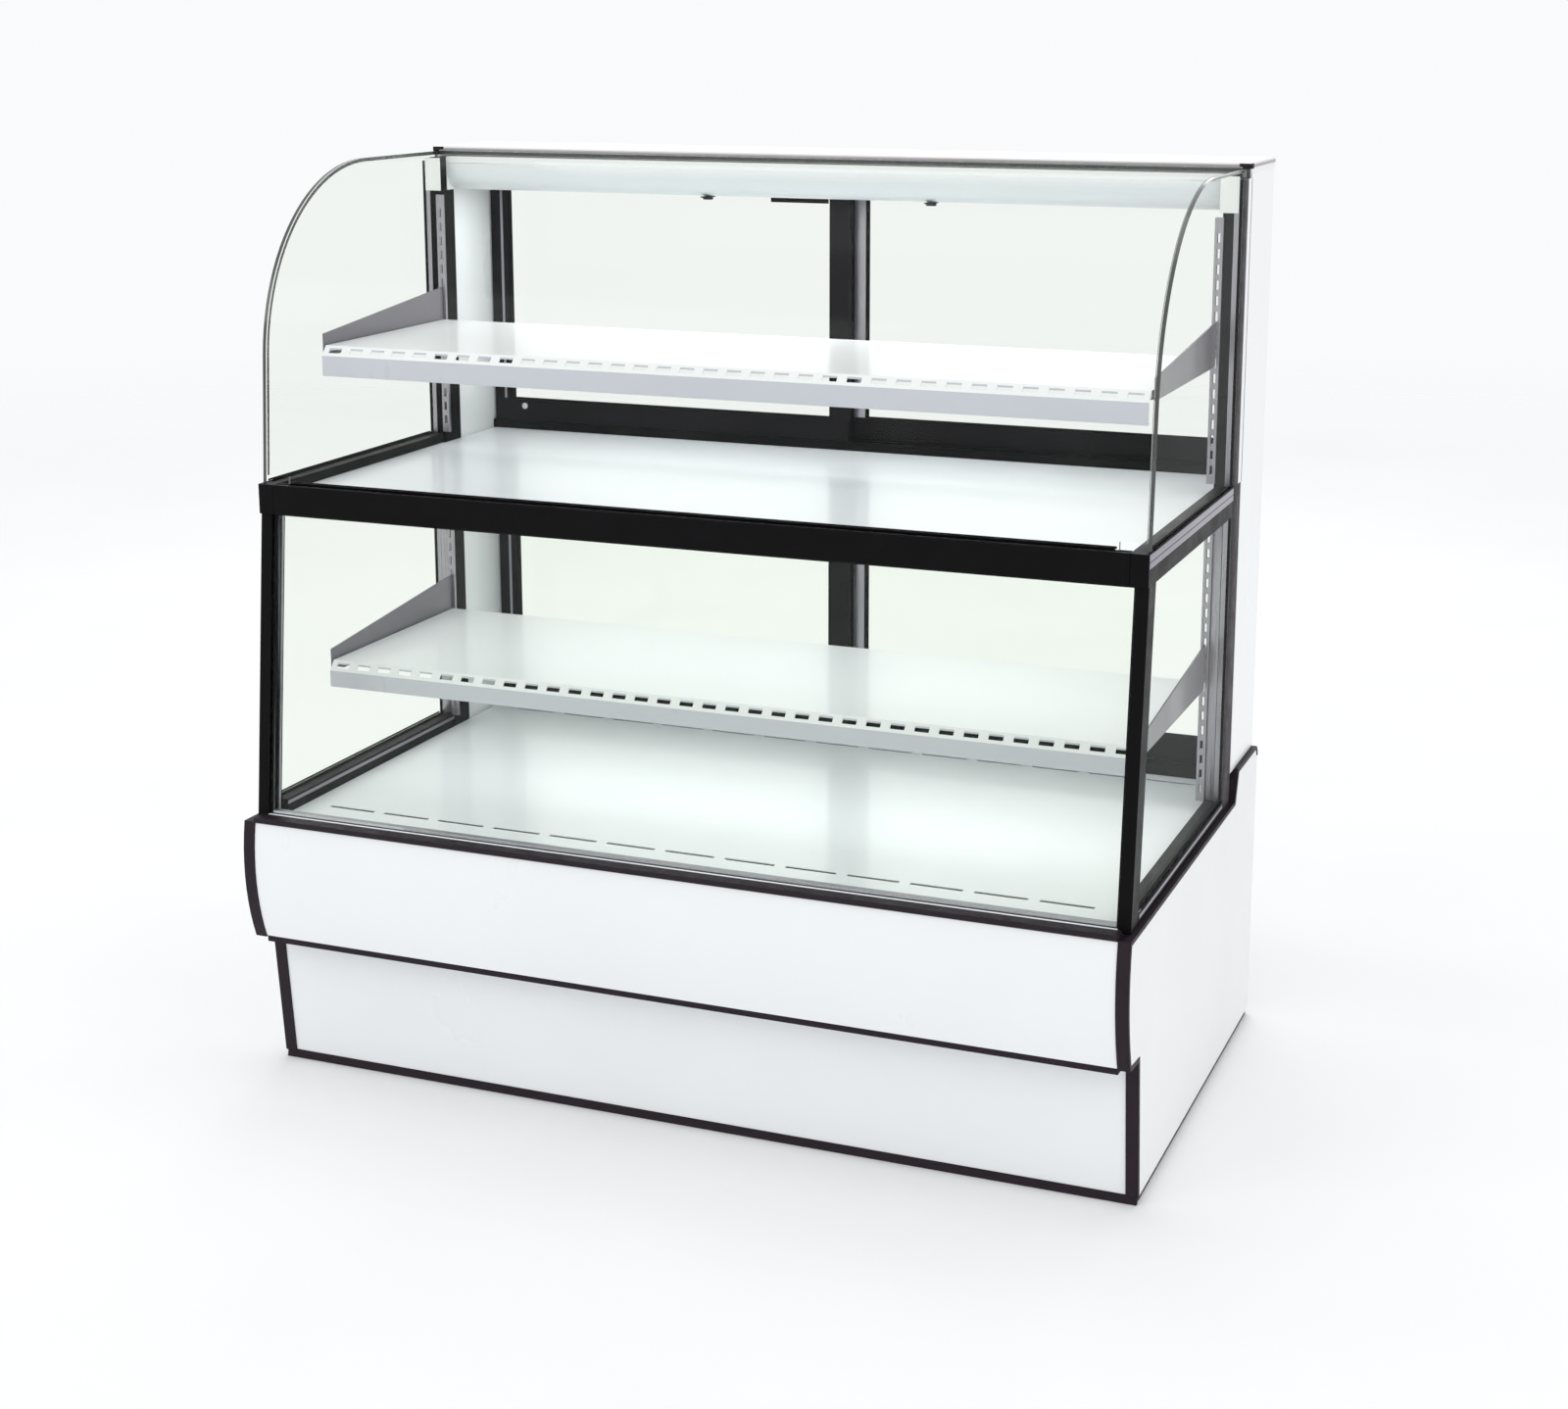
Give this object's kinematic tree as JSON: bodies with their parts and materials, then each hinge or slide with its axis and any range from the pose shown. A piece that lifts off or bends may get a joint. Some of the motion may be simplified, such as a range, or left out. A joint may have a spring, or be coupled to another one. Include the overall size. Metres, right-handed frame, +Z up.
{
  "type": "glass display showcase",
  "caption": "Free-standing bakery showcase: white base, leaning double front glass, tilting curved upper glass, two shelves, sliding rear doors.",
  "frame": {"origin": "floor level, under the middle of the case's bounding box", "axes": "+X to the customer's right along the case, -Y towards the customer, +Z up"},
  "size_m": [1.502, 0.89, 1.524],
  "materials": {
    "white_enamel": "smooth white baked enamel",
    "white_laminate": "white laminated board",
    "black_frame": "satin black powder coat on aluminium extrusion",
    "black_trim": "matt black extruded edging",
    "clear_glass": "clear tempered glass",
    "aluminium": "satin anodised",
    "shelf_enamel": "light grey enamel",
    "deck_enamel": "pale grey-blue enamel",
    "galvanised": "galvanised sheet",
    "foam_core": "foamed insulation behind white sheet",
    "diffuser": "opal diffuser",
    "lamp_glass": "opal lamp",
    "copper": "drawn copper tube",
    "compressor_black": "black enamel",
    "fins": "mill aluminium fins",
    "dark_plastic": "moulded plastic",
    "screw_steel": "zinc plated"
  },
  "bodies": {
    "case": {"lower_front_panel": "white_enamel", "front_fascia": "white_enamel", "light_housing": "white_enamel", "rear_side_panels": "white_enamel", "rear_header": "white_enamel", "right_end_panel": "white_laminate", "left_end_panel": "white_laminate", "top_panel": "white_laminate", "base_side_rails": "black_frame", "front_mullion": "black_frame", "front_posts": "black_frame", "mid_side_rails": "black_frame", "rear_posts": "black_frame", "rear_mid_rail": "black_frame", "rear_sill": "black_frame", "base_edge_trims": "black_trim", "upper_end_glass": "clear_glass", "lower_end_glass": "clear_glass", "lower_front_panes": "clear_glass", "post_strips": "aluminium", "pane_spacer": "aluminium", "upper_shelf": "shelf_enamel", "lower_shelf": "shelf_enamel", "shelf_brackets": "shelf_enamel", "upper_deck": "deck_enamel", "lower_deck": "deck_enamel", "front_glass_rail": "deck_enamel", "base_frame": "galvanised", "condensate_pan": "galvanised", "rear_machine_cover": "galvanised", "insulated_tub": "foam_core", "light_lens": "diffuser", "lamp_tube": "lamp_glass", "pipework": "copper", "compressor": "compressor_black", "condenser_coil": "fins", "evaporator_coil": "fins", "fan_motors": "dark_plastic", "control_panel": "dark_plastic", "cord_bushing": "dark_plastic", "cover_screws": "screw_steel", "hinge_pins": "screw_steel"},
    "curved_glass": {"curved_front_glass": "clear_glass", "hinge_barrel": "black_frame"},
    "upper_left_door": {"upper_left_door_frame": "black_frame", "upper_left_door_glass": "clear_glass"},
    "upper_right_door": {"upper_right_door_frame": "black_frame", "upper_right_door_glass": "clear_glass"},
    "lower_left_door": {"lower_left_door_frame": "black_frame", "lower_left_door_glass": "clear_glass"},
    "lower_right_door": {"lower_right_door_frame": "black_frame", "lower_right_door_glass": "clear_glass"},
    "condenser_fan": {"condenser_fan_blade": "dark_plastic"},
    "evaporator_fan": {"evaporator_fan_blade": "dark_plastic"},
    "thermostat": {"thermostat_knob": "dark_plastic"},
    "switch": {"light_switch": "dark_plastic"},
    "front_left_foot": {"foot_front_left": "screw_steel"},
    "front_right_foot": {"foot_front_right": "screw_steel"},
    "rear_left_foot": {"foot_rear_left": "screw_steel"},
    "rear_right_foot": {"foot_rear_right": "screw_steel"}
  },
  "joints": [
    {"name": "curved_glass_tilt", "type": "hinge", "parent": "case", "child": "curved_glass", "pos_m": [0, -0.3473, 1], "axis": [1, 0, 0], "range_deg": [0, 40]},
    {"name": "upper_left_door_slide", "type": "slide", "parent": "case", "child": "upper_left_door", "axis": [1, 0, 0], "range_m": [0, 0.64]},
    {"name": "upper_right_door_slide", "type": "slide", "parent": "case", "child": "upper_right_door", "axis": [1, 0, 0], "range_m": [-0.64, 0]},
    {"name": "lower_left_door_slide", "type": "slide", "parent": "case", "child": "lower_left_door", "axis": [1, 0, 0], "range_m": [0, 0.64]},
    {"name": "lower_right_door_slide", "type": "slide", "parent": "case", "child": "lower_right_door", "axis": [1, 0, 0], "range_m": [-0.64, 0]},
    {"name": "condenser_fan_spin", "type": "hinge", "parent": "case", "child": "condenser_fan", "pos_m": [0.27, 0.303, 0.152], "axis": [0, 1, 0], "continuous": true},
    {"name": "evaporator_fan_spin", "type": "hinge", "parent": "case", "child": "evaporator_fan", "pos_m": [0, 0.021, 0.37], "axis": [0, 1, 0], "continuous": true},
    {"name": "thermostat_turn", "type": "hinge", "parent": "case", "child": "thermostat", "pos_m": [0.64, 0.43, 0.195], "axis": [0, -1, 0], "range_deg": [0, 270]},
    {"name": "light_switch_rock", "type": "hinge", "parent": "case", "child": "switch", "pos_m": [0.529, 0.421, 0.195], "axis": [1, 0, 0], "range_deg": [0, 14]},
    {"name": "front_left_foot_turn", "type": "hinge", "parent": "case", "child": "front_left_foot", "pos_m": [-0.692, -0.305, 0], "axis": [0, 0, 1], "continuous": true},
    {"name": "front_right_foot_turn", "type": "hinge", "parent": "case", "child": "front_right_foot", "pos_m": [0.692, -0.305, 0], "axis": [0, 0, 1], "continuous": true},
    {"name": "rear_left_foot_turn", "type": "hinge", "parent": "case", "child": "rear_left_foot", "pos_m": [-0.692, 0.396, 0], "axis": [0, 0, 1], "continuous": true},
    {"name": "rear_right_foot_turn", "type": "hinge", "parent": "case", "child": "rear_right_foot", "pos_m": [0.692, 0.396, 0], "axis": [0, 0, 1], "continuous": true}
  ]
}
